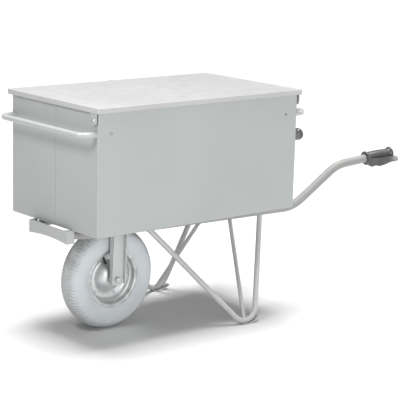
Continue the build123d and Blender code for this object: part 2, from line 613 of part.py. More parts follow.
save(ring(y_plane(WHEEL_X, -HUB_HALF_LENGTH, WHEEL_RADIUS, 1), HUB_RADIUS, BUSH_RADIUS,
          2 * HUB_HALF_LENGTH), "hub_tube")
BUSH_BORE = AXLE_RADIUS + RUNNING_CLEARANCE
bush_pieces = []
for side in (-1, 1):
    inner_end = side * (HUB_HALF_LENGTH - BUSH_LENGTH)
    bush_pieces.append(ring(y_plane(WHEEL_X, inner_end, WHEEL_RADIUS, side), BUSH_RADIUS,
                            BUSH_BORE, BUSH_LENGTH))
    bush_pieces.append(ring(y_plane(WHEEL_X, side * HUB_HALF_LENGTH, WHEEL_RADIUS, side),
                            BUSH_FLANGE_RADIUS, BUSH_BORE, BUSH_FLANGE))
save(grouped(bush_pieces), "hub_bushes")

RIM_DISC_INNER = 62.0
RIM_DISC_OUTER = 88.0
RIM_DOME_OFFSET = 30.0
with BuildPart() as near_rim_half:
    with BuildSketch(wheel_section):
        with BuildLine() as rim_line:
            Polyline((RIM_DOME_OFFSET + 8, HUB_RADIUS), (RIM_DOME_OFFSET, HUB_RADIUS + 16),
                     (14, 55), (0, RIM_DISC_INNER), (0, RIM_DISC_OUTER),
                     (9, RIM_SEAT_RADIUS), (RIM_FLANGE_OFFSET - 2.5, RIM_SEAT_RADIUS),
                     (RIM_FLANGE_OFFSET, RIM_SEAT_RADIUS + 3),
                     (RIM_FLANGE_OFFSET, RIM_FLANGE_RADIUS),
                     (RIM_FLANGE_OFFSET + RIM_SHEET, RIM_FLANGE_RADIUS),
                     (RIM_FLANGE_OFFSET + RIM_SHEET, RIM_SEAT_RADIUS + 1),
                     (RIM_FLANGE_OFFSET - 1, RIM_SEAT_RADIUS - RIM_SHEET),
                     (11, RIM_SEAT_RADIUS - RIM_SHEET), (RIM_SHEET, RIM_DISC_OUTER - 1),
                     (RIM_SHEET, RIM_DISC_INNER + 1), (16, 57.5),
                     (RIM_DOME_OFFSET + 2.5, HUB_RADIUS + 17.5),
                     (RIM_DOME_OFFSET + 11, HUB_RADIUS), close=True)
        make_face()
    revolve(axis=axle_axis)
    with BuildSketch(Plane(origin=(WHEEL_X, 0, WHEEL_RADIUS), x_dir=(1, 0, 0), z_dir=(0, -1, 0))):
        with PolarLocations(RIM_BOLT_CIRCLE, RIM_BOLT_COUNT, start_angle=VALVE_ANGLE + 36):
            Circle(3)
    extrude(amount=RIM_SHEET, mode=Mode.SUBTRACT)
far_rim_half = mirrored(near_rim_half)
valve_direction = Vector(cos(radians(VALVE_ANGLE)), 0, sin(radians(VALVE_ANGLE)))
wheel_centre = Vector(WHEEL_X, 0, WHEEL_RADIUS)
VALVE_RADIUS = 4.0
VALVE_ROOT = 117.0
VALVE_TIP = 74.0
valve_root = wheel_centre + valve_direction * VALVE_ROOT + Vector(0, -VALVE_OFFSET, 0)
valve_plane = Plane(origin=valve_root, z_dir=valve_direction * -1)
with BuildPart() as valve_hole:
    with BuildSketch(valve_plane):
        Circle(VALVE_RADIUS)
    extrude(amount=VALVE_ROOT - VALVE_TIP)
save(cut(near_rim_half, valve_hole), "near_rim_half")
save(far_rim_half, "far_rim_half")

CAP_RADIUS = 5.0
CAP_LENGTH = 12.0
save(grouped([valve_hole]), "valve_stem")
with BuildPart() as valve_cap:
    cap_plane = valve_plane.offset(VALVE_ROOT - VALVE_TIP)
    with BuildSketch(cap_plane):
        Circle(CAP_RADIUS)
    extrude(amount=CAP_LENGTH)
    fillet(valve_cap.edges().filter_by(GeomType.CIRCLE), radius=1)
save(valve_cap, "valve_cap")

RIM_BOLT_RADIUS = 3.0
RIM_BOLT_HEX = 5.8
RIM_BOLT_HEAD = 4.0
rim_bolt_angles = [VALVE_ANGLE + 36 + 360 / RIM_BOLT_COUNT * i for i in range(RIM_BOLT_COUNT)]


def rim_bolt_place(angle, y, outward):
    x = WHEEL_X + RIM_BOLT_CIRCLE * cos(radians(angle))
    z = WHEEL_RADIUS + RIM_BOLT_CIRCLE * sin(radians(angle))
    return y_plane(x, y, z, outward)


save(grouped([
    screw(rim_bolt_place(angle, -RIM_SHEET, -1), RIM_BOLT_HEX, RIM_BOLT_HEAD,
          RIM_BOLT_RADIUS, 2 * RIM_SHEET + RIM_BOLT_HEAD + 2, sides=6)
    for angle in rim_bolt_angles]), "rim_bolts")
save(grouped([
    ring(rim_bolt_place(angle, RIM_SHEET, 1), RIM_BOLT_HEX, RIM_BOLT_RADIUS,
         RIM_BOLT_HEAD, sides=6)
    for angle in rim_bolt_angles]), "rim_nuts")

BEAD_RADIUS = RIM_SEAT_RADIUS + 0.2
with BuildPart() as tyre:
    with BuildSketch(wheel_section):
        with BuildLine():
            Polyline((30, BEAD_RADIUS), (39, BEAD_RADIUS), (41.6, 106), (41.6, 115.5))
            ThreePointArc((41.6, 115.5), (TYRE_HALF_WIDTH, 150), (43, 180))
            ThreePointArc((43, 180), (22, 195.5), (0, WHEEL_RADIUS))
            Line((0, WHEEL_RADIUS), (0, WHEEL_RADIUS - 9))
            ThreePointArc((0, WHEEL_RADIUS - 9), (20, 186.7), (36, 175))
            ThreePointArc((36, 175), (44, 148), (34, 116))
            Line((34, 116), (30, BEAD_RADIUS))
        make_face()
        mirror(about=Plane.YZ)
    revolve(axis=axle_axis)
save(tyre, "tyre")

TUBE_SECTION_RADIUS = 34.0
TUBE_RUBBER = 2.0
TUBE_CENTRE_RADIUS = 151.0
with BuildPart() as inner_tube:
    with BuildSketch(wheel_section):
        with Locations((0, TUBE_CENTRE_RADIUS)):
            Circle(TUBE_SECTION_RADIUS)
            Circle(TUBE_SECTION_RADIUS - TUBE_RUBBER, mode=Mode.SUBTRACT)
    revolve(axis=axle_axis)
    add(valve_hole.part, mode=Mode.SUBTRACT)
save(inner_tube, "inner_tube")

# ---------------------------------------------------------------- safety grips
grip_direction = (RAIL_POINTS[4] - RAIL_POINTS[3]).normalized()
grip_start = RAIL_POINTS[4] - grip_direction * GRIP_TUBE_INSET
across = Vector(0, -1, 0)
outboard = (across - grip_direction * across.dot(grip_direction)).normalized()
# Side view of the near grip: local X along the rail, local Y up.
grip_side = Plane(origin=grip_start, x_dir=grip_direction, z_dir=outboard)
# Plan view of the near grip: local X along the rail, local Y outboard.
grip_plan = Plane(origin=grip_start, x_dir=grip_direction, z_dir=grip_direction.cross(outboard))
GUARD_REACH = 60.0

with BuildPart() as near_knuckle_guard:
    with BuildSketch(grip_plan):
        with BuildLine():
            Spline((6, 20), (26, 37), (62, 46), (108, 38), (161, 12))
        trace(line_width=GUARD_THICKNESS)
    extrude(amount=GUARD_REACH, both=True)
    with BuildSketch(grip_side):
        with BuildLine():
            Polyline((0, 4), (64, 0), (114, -4), (164, -19), (164, -38), (134, -33),
                     (104, -27), (56, -31), (44, -33), (28, -28), (16, -34), (0, -24),
                     close=True)
        make_face()
    extrude(amount=GUARD_REACH, mode=Mode.INTERSECT)

with BuildPart() as near_grip:
    with BuildSketch(grip_side):
        with BuildLine():
            Polyline((0, 0), (0, 26), (2, 29), (7, 29), (11, 24.5), (60, 23.5), (112, 20.5),
                     (119, 22), (123, 26), (129, 26), (133, 23), (135, 15), (135, 0),
                     close=True)
        make_face()
    revolve(axis=Axis(grip_start, grip_direction))
    add(near_knuckle_guard.part)
    add(near_rail_envelope.part, mode=Mode.SUBTRACT)
save(near_grip, "near_grip")
save(mirrored(near_grip), "far_grip")
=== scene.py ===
"""Looks for the tool-box wheelbarrow: materials, detailed meshes, floor, light and camera.

Metres, in the CAD model's frame: +X towards the grips, Z = 0 on the ground, near side = -Y."""
from math import cos, hypot, pi, radians, sin, tan

import bmesh
import bpy
from mathutils import Matrix, Vector, noise


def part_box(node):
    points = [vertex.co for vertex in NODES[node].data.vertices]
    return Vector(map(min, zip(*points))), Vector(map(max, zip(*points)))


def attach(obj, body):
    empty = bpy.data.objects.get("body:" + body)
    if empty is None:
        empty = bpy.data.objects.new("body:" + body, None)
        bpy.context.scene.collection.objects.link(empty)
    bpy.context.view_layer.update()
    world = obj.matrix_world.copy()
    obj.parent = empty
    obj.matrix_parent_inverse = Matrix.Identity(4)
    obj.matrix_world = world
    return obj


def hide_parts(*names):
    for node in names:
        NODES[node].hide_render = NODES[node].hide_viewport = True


MM = 0.001

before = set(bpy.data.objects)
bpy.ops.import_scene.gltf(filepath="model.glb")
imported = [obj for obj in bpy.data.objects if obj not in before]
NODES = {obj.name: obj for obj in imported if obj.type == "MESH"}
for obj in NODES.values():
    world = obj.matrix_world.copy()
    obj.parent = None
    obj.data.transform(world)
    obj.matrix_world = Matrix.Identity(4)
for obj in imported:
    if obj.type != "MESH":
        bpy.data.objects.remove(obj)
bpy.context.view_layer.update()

# ---------------------------------------------------------------- places and radii shared below
BOX_FRONT_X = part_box("near_side_panel")[0].x
TYRE_LOW, TYRE_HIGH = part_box("tyre")
WHEEL = (TYRE_LOW + TYRE_HIGH) / 2
RAIL_RADIUS = 16.85 * MM
RAIL_Z = 413.15                # millimetres, like every height given to from_front
LEG_RADIUS = 10.65 * MM
BRACE_RADIUS = 8 * MM


def from_front(x, half_spacing, z):
    """A near-side point in millimetres, with x measured from the box's front wall."""
    return Vector((BOX_FRONT_X + x * MM, -half_spacing * MM, z * MM))


# ---------------------------------------------------------------- node helpers
class Recipe:
    """A material under construction: its Principled shader and short calls that add nodes."""

    def __init__(self, name, roughness=0.5, metallic=0.0, specular=0.5):
        self.material = bpy.data.materials.new(name)
        self.material.use_nodes = True
        self.tree = self.material.node_tree
        self.tree.nodes.clear()
        output = self.tree.nodes.new("ShaderNodeOutputMaterial")
        self.shader = self.tree.nodes.new("ShaderNodeBsdfPrincipled")
        self.shader.inputs["Roughness"].default_value = roughness
        self.shader.inputs["Metallic"].default_value = metallic
        self.shader.inputs["Specular IOR Level"].default_value = specular
        self.tree.links.new(self.shader.outputs["BSDF"], output.inputs["Surface"])
        self.coordinates = self.tree.nodes.new("ShaderNodeTexCoord").outputs["Object"]

    def node(self, kind, settings=None, **inputs):
        """A node with its settings, its inputs given by name as a value or another socket."""
        made = self.tree.nodes.new("ShaderNode" + kind)
        for key, value in (settings or {}).items():
            setattr(made, key, value)
        for key, value in inputs.items():
            self.put(made, int(key[1:]) if key[0] == "_" else key, value)
        return made

    def put(self, made, key, value):
        if isinstance(value, bpy.types.NodeSocket):
            self.tree.links.new(value, made.inputs[key])
        else:
            made.inputs[key].default_value = value

    def noise(self, scale, detail=3.0, roughness=0.55, stretch=None):
        """Noise with features of about 1/scale metres, optionally stretched by axis."""
        where = self.coordinates
        if stretch:
            where = self.node("Mapping", Vector=where, Scale=stretch).outputs["Vector"]
        return self.node("TexNoise", Vector=where, Scale=scale, Detail=detail,
                         Roughness=roughness).outputs["Fac"]

    def ramp(self, value, low, high, low_out=0.0, high_out=1.0):
        """Value mapped from low..high to low_out..high_out, clamped."""
        made = self.node("MapRange", Value=value)
        self.put(made, "From Min", low)
        self.put(made, "From Max", high)
        self.put(made, "To Min", low_out)
        self.put(made, "To Max", high_out)
        return made.outputs["Result"]

    def maths(self, operation, first, second=0.0):
        return self.node("Math", {"operation": operation}, _0=first, _1=second).outputs[0]

    def mix(self, amount, first, second):
        """Colour mix; colours are RGB tuples or sockets."""
        made = self.node("Mix", {"data_type": "RGBA"}, _0=amount)
        for key, value in ((6, first), (7, second)):
            self.put(made, key, value if isinstance(value, bpy.types.NodeSocket) else (*value, 1.0))
        return made.outputs[2]

    def edges(self, radius):
        """0 on flat faces, rising to 1 on edges and corners within radius."""
        soft = self.node("Bevel", {"samples": 4}, Radius=radius).outputs["Normal"]
        flat = self.node("NewGeometry").outputs["Normal"]
        along = self.node("VectorMath", {"operation": "DOT_PRODUCT"}, _0=soft, _1=flat)
        return self.ramp(along.outputs["Value"], 0.99, 0.8)

    def bump(self, *layers):
        """Stacked bumps: each layer is (height socket, distance in metres, strength)."""
        normal = None
        for height, distance, strength in layers:
            made = self.node("Bump", Height=height, Distance=distance, Strength=strength)
            if normal is not None:
                self.put(made, "Normal", normal)
            normal = made.outputs["Normal"]
        self.put(self.shader, "Normal", normal)

    def finish(self, colour=None, roughness=None):
        if colour is not None:
            self.put(self.shader, "Base Color", colour)
        if roughness is not None:
            self.put(self.shader, "Roughness", roughness)
        return self.material


# ---------------------------------------------------------------- materials
def powder_coat(name, colour, wear=0.35, gloss=0.0):
    """Satin powder coat: orange peel, slow tone changes, faint handling marks, thin edges."""
    r = Recipe(name, roughness=0.42, specular=0.5)
    lighter = tuple(min(1.0, c * 1.035) for c in colour)
    darker = tuple(c * 0.955 for c in colour)
    thin = tuple(c * 0.72 for c in colour)
    tone = r.ramp(r.noise(2.3, detail=4), 0.3, 0.7)
    body = r.mix(tone, darker, lighter)
    dust = r.ramp(r.noise(45, detail=6, roughness=0.7), 0.62, 0.78, 0.0, 0.18)
    body = r.mix(dust, body, tuple(c * 0.86 for c in colour))
    chips = r.ramp(r.noise(260, detail=4), 0.56, 0.64)
    worn = r.maths("MULTIPLY", r.maths("MULTIPLY", r.edges(1.2 * MM), chips), wear)
    body = r.mix(worn, body, thin)
    rubbed = r.noise(18, detail=5, stretch=(1.0, 1.0, 0.25))
    rough = r.ramp(rubbed, 0.3, 0.7, 0.36 - gloss, 0.5 - gloss)
    r.bump((r.noise(5.0, detail=1), 1.2 * MM, 0.22),
           (r.noise(750, detail=2), 0.05 * MM, 0.35))
    return r.finish(body, rough)


def zinc_plate(name, tint=(0.66, 0.67, 0.68), dark=0.0, scale=1.0):
    """Bright zinc plating: fine spangle, rolled-sheet grain, darker in its pits."""
    r = Recipe(name, metallic=1.0)
    dull = tuple(c * 0.74 * (1 - dark) for c in tint)
    bright = tuple(c * (1 - dark) for c in tint)
    spangle = r.ramp(r.noise(130 * scale, detail=5), 0.35, 0.68)
    body = r.mix(spangle, dull, bright)
    stains = r.ramp(r.noise(24 * scale, detail=6, roughness=0.7), 0.6, 0.76, 0.0, 0.35)
    body = r.mix(stains, body, tuple(c * 0.55 for c in tint))
    rough = r.ramp(r.noise(60 * scale, detail=5), 0.3, 0.7, 0.24, 0.42)
    r.bump((r.noise(420 * scale, detail=3), 0.04 * MM, 0.35))
    return r.finish(body, rough)


def axle_radius(r):
    """Distance from the axle's line, and distance from the wheel's centre plane."""
    offset = r.node("VectorMath", {"operation": "SUBTRACT"}, _0=r.coordinates,
                    _1=tuple(WHEEL)).outputs["Vector"]
    parts = r.node("SeparateXYZ", Vector=offset)
    x, y, z = (parts.outputs[k] for k in "XYZ")
    square = r.maths("ADD", r.maths("MULTIPLY", x, x), r.maths("MULTIPLY", z, z))
    return r.maths("SQRT", square), r.maths("ABSOLUTE", y)


def rim_metal():
    """Zinc-plated pressed rim, with drawing rings round the axle and painted shade, broken up with
    grime, in the bead channel.
    """
    r = Recipe("rim_zinc", metallic=0.75)
    radius, _ = axle_radius(r)
    rings = r.node("CombineXYZ", X=radius).outputs["Vector"]
    drawn = r.node("TexNoise", Vector=rings, Scale=520.0, Detail=4.0).outputs["Fac"]
    spangle = r.noise(90, detail=5)
    body = r.mix(r.ramp(spangle, 0.3, 0.7), (0.67, 0.69, 0.69), (0.79, 0.81, 0.81))
    body = r.mix(r.ramp(drawn, 0.45, 0.75, 0.0, 0.5), body, (0.46, 0.47, 0.47))
    # Painted shade: darker in the recessed bead channel beside the tyre, broken up with patches of
    # grime.
    channel_shade_and_grime = r.ramp(radius, 94 * MM, 101 * MM)
    channel_shade_and_grime = r.maths("MULTIPLY", channel_shade_and_grime, r.ramp(r.noise(35, detail=6), 0.4, 0.7, 0.1, 0.6))
    body = r.mix(channel_shade_and_grime, body, (0.20, 0.20, 0.19))
    rough = r.ramp(r.noise(70, detail=4), 0.3, 0.7, 0.38, 0.5)
    r.bump((drawn, 0.05 * MM, 0.4), (r.noise(380, detail=2), 0.03 * MM, 0.3))
    return r.finish(body, rough)


def grey_rubber():
    """Pale blue-grey tyre rubber, greyer and scuffed on the tread, with patches of dust."""
    r = Recipe("grey_rubber", specular=0.4)
    radius, side = axle_radius(r)
    mottle = r.ramp(r.noise(14, detail=5), 0.3, 0.7)
    wall = r.mix(mottle, (0.525, 0.552, 0.58), (0.59, 0.622, 0.645))
    tread = r.mix(r.ramp(r.noise(60, detail=5), 0.35, 0.65), (0.43, 0.435, 0.43),
                  (0.52, 0.53, 0.53))
    worn = r.ramp(radius, 184 * MM, 192 * MM)
    broken = r.maths("MULTIPLY", worn, r.ramp(r.noise(30, detail=6), 0.3, 0.6, 0.55, 1.0))
    body = r.mix(broken, wall, tread)
    dust = r.ramp(r.noise(220, detail=4, roughness=0.7), 0.55, 0.75, 0.0, 0.22)
    body = r.mix(dust, body, (0.54, 0.54, 0.53))
    rough = r.ramp(r.noise(40, detail=5), 0.3, 0.7, 0.5, 0.68)
    r.bump((r.noise(420, detail=4), 0.12 * MM, 0.4))
    return r.finish(body, rough)


def black_rubber():
    r = Recipe("black_rubber", specular=0.35)
    body = r.mix(r.ramp(r.noise(90, detail=5), 0.3, 0.7), (0.012, 0.012, 0.012),
                 (0.035, 0.034, 0.033))
    dust = r.ramp(r.noise(300, detail=5), 0.58, 0.75, 0.0, 0.3)
    body = r.mix(dust, body, (0.16, 0.155, 0.15))
    r.bump((r.noise(700, detail=3), 0.08 * MM, 0.4))
    return r.finish(body, r.ramp(r.noise(50), 0.3, 0.7, 0.5, 0.7))


def grip_plastic():
    """Moulded charcoal grip: leathery grain, palm-polished patches, paler along its edges."""
    r = Recipe("grip_plastic", specular=0.5)
    body = r.mix(r.ramp(r.noise(35, detail=5), 0.3, 0.7), (0.062, 0.062, 0.063),
                 (0.092, 0.092, 0.093))
    chalk = r.ramp(r.noise(240, detail=5), 0.5, 0.7, 0.1, 0.6)
    body = r.mix(r.maths("MULTIPLY", r.edges(1.0 * MM), chalk), body, (0.19, 0.19, 0.19))
    grain = r.node("TexVoronoi", Vector=r.coordinates, Scale=850.0).outputs["Distance"]
    rough = r.ramp(r.noise(22, detail=4), 0.35, 0.65, 0.28, 0.42)
    r.bump((grain, 0.10 * MM, 0.35), (r.noise(300, detail=3), 0.08 * MM, 0.3))
    return r.finish(body, rough)


def white_nylon():
    r = Recipe("white_nylon", specular=0.45)
    r.shader.inputs["Subsurface Weight"].default_value = 0.1
    body = r.mix(r.ramp(r.noise(60, detail=4), 0.3, 0.7), (0.70, 0.69, 0.64),
                 (0.82, 0.81, 0.77))
    grease = r.ramp(r.noise(120, detail=5), 0.55, 0.72, 0.0, 0.5)
    body = r.mix(grease, body, (0.30, 0.29, 0.26))
    r.bump((r.noise(500, detail=2), 0.05 * MM, 0.3))
    return r.finish(body, r.ramp(r.noise(80), 0.3, 0.7, 0.38, 0.5))


def weld_metal(colour):
    """A painted weld bead: the coat lies thinner and rougher over its ripples."""
    r = Recipe("painted_weld", specular=0.5)
    body = r.mix(r.ramp(r.noise(240, detail=4), 0.35, 0.65),
                 tuple(c * 0.80 for c in colour), tuple(c * 1.0 for c in colour))
    r.bump((r.noise(600, detail=3), 0.12 * MM, 0.5))
    return r.finish(body, r.ramp(r.noise(150), 0.3, 0.7, 0.4, 0.58))


def studio_floor():
    r = Recipe("studio_floor", specular=0.1)
    body = r.mix(r.ramp(r.noise(0.8, detail=3), 0.3, 0.7), (0.63, 0.63, 0.63),
                 (0.65, 0.65, 0.65))
    r.bump((r.noise(60, detail=3), 0.2 * MM, 0.15))
    return r.finish(body, r.ramp(r.noise(6), 0.3, 0.7, 0.75, 0.85))


SHEET_GREY = (0.385, 0.405, 0.395)
LID_GREY = (0.442, 0.444, 0.441)
# Dark paint on the seam strips behind the front wall's 1 mm seam gap: painted shade in the gap.
SEAM_SHADE_GREY = (0.20, 0.21, 0.205)
HANDLE_GREY = (0.405, 0.418, 0.41)
RAIL_GREY = (0.30, 0.30, 0.295)
TUBE_GREY = (0.46, 0.463, 0.455)
# Lighter than TUBE_GREY: painted light on the fork legs, which lie in the box's shadow.
FORK_LIT_GREY = (0.56, 0.57, 0.565)
PAINT = powder_coat("sheet_powder_coat", SHEET_GREY)
LID_PAINT = powder_coat("lid_powder_coat", LID_GREY)
SEAM_SHADE_PAINT = powder_coat("seam_painted_shade", SEAM_SHADE_GREY)
HANDLE_PAINT = powder_coat("handle_powder_coat", HANDLE_GREY, gloss=0.1)
RAIL_PAINT = powder_coat("rail_powder_coat", RAIL_GREY, gloss=-0.15)
TUBE_PAINT = powder_coat("tube_powder_coat", TUBE_GREY, gloss=0.1)
FORK_LIT_PAINT = powder_coat("fork_painted_light", FORK_LIT_GREY, gloss=0.1)
ZINC = zinc_plate("zinc_hardware")
DARK_ZINC = zinc_plate("dark_screws", tint=(0.58, 0.58, 0.59), dark=0.2, scale=2.0)
RIM_METAL = rim_metal()
TYRE_RUBBER = grey_rubber()
BLACK_RUBBER = black_rubber()
GRIP_PLASTIC = grip_plastic()
NYLON = white_nylon()
WELD = weld_metal(TUBE_GREY)

TUBE_NODES = [
    "near_leg", "far_leg", "near_leg_brace", "far_leg_brace", "rear_cross_tube",
    "near_foot_shoe", "far_foot_shoe", "fork_bridge_plate", "middle_floor_bearer",
    "rear_floor_bearer",
]
ZINC_NODES = [
    "hinge_bolts", "hinge_bushes", "hinge_nuts", "carry_handle_nuts", "floor_bolts",
    "floor_bolt_nuts", "axle_bolt", "axle_nut", "axle_washers", "axle_sleeve",
    "axle_spacers", "hub_tube", "rim_bolts", "rim_nuts",
]


def give(node_names, material):
    """Give CAD nodes a material in place of the one they were imported with."""
    for node_name in node_names:
        slots = NODES[node_name].data.materials
        slots.clear()
        slots.append(material)


give(NODES, PAINT)
give(["lid_panel", "lid_lock_tab"], LID_PAINT)
# The seam strips carry painted shade, darkening the seam gap in front of them.
give(["seam_strips"], SEAM_SHADE_PAINT)
give(TUBE_NODES, TUBE_PAINT)
give(["front_carry_handle", "rear_carry_handle", "front_crossbar"], HANDLE_PAINT)
give(["near_handle_rail", "far_handle_rail"], RAIL_PAINT)
# The fork legs get the lightened paint: painted light in place of the light the box's shadow takes
# away.
give(["near_fork_leg", "far_fork_leg"], FORK_LIT_PAINT)
give(ZINC_NODES, ZINC)
give(["carry_handle_screws"], DARK_ZINC)
give(["inner_tube", "valve_stem", "valve_cap", "lid_buffers"], BLACK_RUBBER)
give(["hub_bushes"], NYLON)


# ---------------------------------------------------------------- mesh helpers
def add_piece(name, vertices, faces, material, body, replaces=(), smooth_angle=40):
    """A new mesh piece, already in the CAD frame, riding on a body."""
    mesh = bpy.data.meshes.new(name)
    mesh.from_pydata([tuple(v) for v in vertices], [], faces)
    bm = bmesh.new()
    bm.from_mesh(mesh)
    bmesh.ops.recalc_face_normals(bm, faces=bm.faces)
    for face in bm.faces:
        face.smooth = True
    for edge in bm.edges:
        edge.smooth = not edge.is_manifold or edge.calc_face_angle() < radians(smooth_angle)
    bm.to_mesh(mesh)
    bm.free()
    mesh.materials.append(material)
    piece = bpy.data.objects.new(name, mesh)
    bpy.context.scene.collection.objects.link(piece)
    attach(piece, body)
    if replaces:
        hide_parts(*replaces)
    return piece


def grid_faces(rows, columns, first=0, close_rows=True, close_columns=True):
    """Quads of a grid of vertices numbered row by row, joined up where closed."""
    faces = []
    for i in range(rows if close_rows else rows - 1):
        for j in range(columns if close_columns else columns - 1):
            a, b = i, (i + 1) % rows
            c, d = j, (j + 1) % columns
            faces.append(tuple(first + k for k in (
                a * columns + c, b * columns + c, b * columns + d, a * columns + d)))
    return faces


def about_axle(y, radius, angle):
    """A point at a radius and angle round the axle, y from the wheel's centre plane."""
    return WHEEL + Vector((radius * cos(angle), y, radius * sin(angle)))


def smoothstep(value, low, high):
    t = min(1.0, max(0.0, (value - low) / (high - low)))
    return t * t * (3 - 2 * t)


def arc(centre, radius, start, end, steps):
    """Points of an arc in a plane, in degrees."""
    return [(centre[0] + radius * cos(radians(start + (end - start) * i / steps)),
             centre[1] + radius * sin(radians(start + (end - start) * i / steps)))
            for i in range(steps + 1)]


def through(first, middle, last, steps):
    """Points of the circle arc from first to last through middle."""
    (ax, ay), (bx, by), (cx, cy) = first, middle, last
    d = 2 * (ax * (by - cy) + bx * (cy - ay) + cx * (ay - by))
    ux = ((ax * ax + ay * ay) * (by - cy) + (bx * bx + by * by) * (cy - ay)
          + (cx * cx + cy * cy) * (ay - by)) / d
    uy = ((ax * ax + ay * ay) * (cx - bx) + (bx * bx + by * by) * (ax - cx)
          + (cx * cx + cy * cy) * (bx - ax)) / d
    radius = hypot(ax - ux, ay - uy)
    spread = [Vector((p[0] - ux, p[1] - uy)) for p in (first, middle, last)]
    turn = spread[1].angle_signed(spread[0]) + spread[2].angle_signed(spread[1])
    points = []
    for i in range(steps + 1):
        direction = spread[0].normalized()
        angle = turn * i / steps
        x = direction.x * cos(angle) - direction.y * sin(angle)
        y = direction.x * sin(angle) + direction.y * cos(angle)
        points.append((ux + radius * x, uy + radius * y))
    return points


# ---------------------------------------------------------------- tyre
TREAD_PITCHES = 88
TREAD_EDGE_Y = 43 * MM
CENTRE_GROOVE_Y = 14.5 * MM
CENTRE_GROOVE_HALF = 2.2 * MM
LUG_GROOVE_DEPTH = 3.4 * MM
CENTRE_GROOVE_DEPTH = 3.0 * MM
SIPE_DEPTH = 1.6 * MM
SIDEWALL_RIB = 0.9             # millimetres, like the outline that it is added to
SIDEWALL_RIB_RADIUS = 122
NEAR_GROOVE = (0.0, 0.09, 0.33, 0.42)          # where a lug groove runs within one pitch
FAR_GROOVE = (0.5, 0.59, 0.83, 0.92)
LUG_STEPS = NEAR_GROOVE + FAR_GROOVE


def groove_mask(fraction, groove):
    """1 on the floor of a lug groove, 0 on the lugs, at a fraction of the pitch."""
    start, floor_start, floor_end, end = groove
    if fraction <= start or fraction >= end:
        return 0.0
    if fraction < floor_start:
        return (fraction - start) / (floor_start - start)
    if fraction > floor_end:
        return (end - fraction) / (end - floor_end)
    return 1.0


def tread_depth(y, radius, fraction):
    """How deep the tread pattern is cut below the tyre's outline."""
    side = abs(y)
    depth = 0.0
    if side > CENTRE_GROOVE_Y:
        groove = NEAR_GROOVE if y < 0 else FAR_GROOVE
        fade = smoothstep(radius, 168 * MM, 180 * MM)
        depth = LUG_GROOVE_DEPTH * fade * groove_mask(fraction, groove)
    elif side < CENTRE_GROOVE_Y - 3 * MM:
        sipe = max(groove_mask(fraction, NEAR_GROOVE), groove_mask(fraction, FAR_GROOVE))
        depth = SIPE_DEPTH * sipe * smoothstep(side, 3 * MM, 6 * MM)
    in_channel = abs(side - CENTRE_GROOVE_Y) < CENTRE_GROOVE_HALF
    return max(depth, CENTRE_GROOVE_DEPTH if in_channel else 0.0)


def tyre_outline():
    """Half outline from the bead to the crown, (y, radius) in millimetres, and its inside."""
    bead = [(30.5, 103.2), (38.6, 103.2), (40.6, 104.4), (41.5, 107.5)]
    wall = through((41.6, 115.5), (50, 150), (43.2, 180), 22)
    raised = [(y + (SIDEWALL_RIB if round(r) == SIDEWALL_RIB_RADIUS else 0.0), r) for y, r in wall]
    crown = through((43, 180), (22, 195.5), (0, 200), 400)
    stations = [42, 39.5, 36, 32, 28, 24, 20, 17.4, 16.6, 12.4, 11.6, 8.5, 5, 2.5, 0]
    tread = [min(crown, key=lambda p: abs(p[0] - y)) for y in stations]
    inside = [(0, 190.5), (14, 188.6), (26, 183.5), (36, 174), (41.5, 160), (43, 146),
              (40, 130), (35, 116), (31, 107)]
    return bead + raised[1:] + tread, inside


def build_tyre():
    outer, inside = tyre_outline()
    half = [(y * MM, r * MM) for y, r in outer]
    loop = [(-y, r) for y, r in half] + [(y, r) for y, r in reversed(half[:-1])]
    lining = [(y * MM, r * MM) for y, r in reversed(inside)]
    loop += lining + [(-y, r) for y, r in reversed(lining[:-1])]
    outer_count = 2 * len(half) - 1
    vertices = []
    for pitch in range(TREAD_PITCHES):
        for fraction in LUG_STEPS:
            for index, (y, radius) in enumerate(loop):
                cut = tread_depth(y, radius, fraction) if index < outer_count else 0.0
                slant = 0.55 * smoothstep(abs(y), 6 * MM, TREAD_EDGE_Y) * (radius > 170 * MM)
                if index >= outer_count:
                    slant = 0.0
                turn = (pitch + fraction + slant) / TREAD_PITCHES
                vertices.append(about_axle(y, radius - cut, 2 * pi * turn))
    faces = grid_faces(TREAD_PITCHES * len(LUG_STEPS), len(loop))
    add_piece("treaded_tyre", vertices, faces, TYRE_RUBBER, "wheel",
              replaces=("tyre",), smooth_angle=32)


build_tyre()


# ---------------------------------------------------------------- rim
RIM_STEPS = 160
RIM_GAUGE = 2.2


def offset_outline(points, gauge):
    """The same outline moved sideways by a sheet's gauge, for its other face."""
    moved = []
    for i, point in enumerate(points):
        before = Vector(points[max(i - 1, 0)])
        after = Vector(points[min(i + 1, len(points) - 1)])
        along = (after - before).normalized()
        moved.append((point[0] - along.y * gauge, point[1] + along.x * gauge))
    return moved


def rim_face():
    """Visible face of a rim half from hub to lip, (y outwards, radius) in millimetres."""
    collar = [(40.5, 22.2), (40.3, 25.5)]
    dome = through((39.6, 27.5), (29.5, 45), (8.5, 60.5), 12)
    root = [(5.2, 62.2), (3.6, 64.4), (3.1, 67)]
    ring = [(3.1, 83), (3.5, 85.6), (4.8, 87.6)]
    step = [(8.6, 91.2), (10.2, 92.4), (12.2, 93.2), (17.5, 93.8), (19.2, 94.8), (20.4, 96.8)]
    seat = [(21.5, 99.0), (24, 100), (37.5, 100.2), (40.2, 100.9), (41.8, 102.4)]
    lip = [(42.6, 105), (43.0, 111)]
    roll = arc((42.3, 112.3), 2.1, -30, 200, 8)
    return collar + dome + root + ring + step + seat + lip, roll


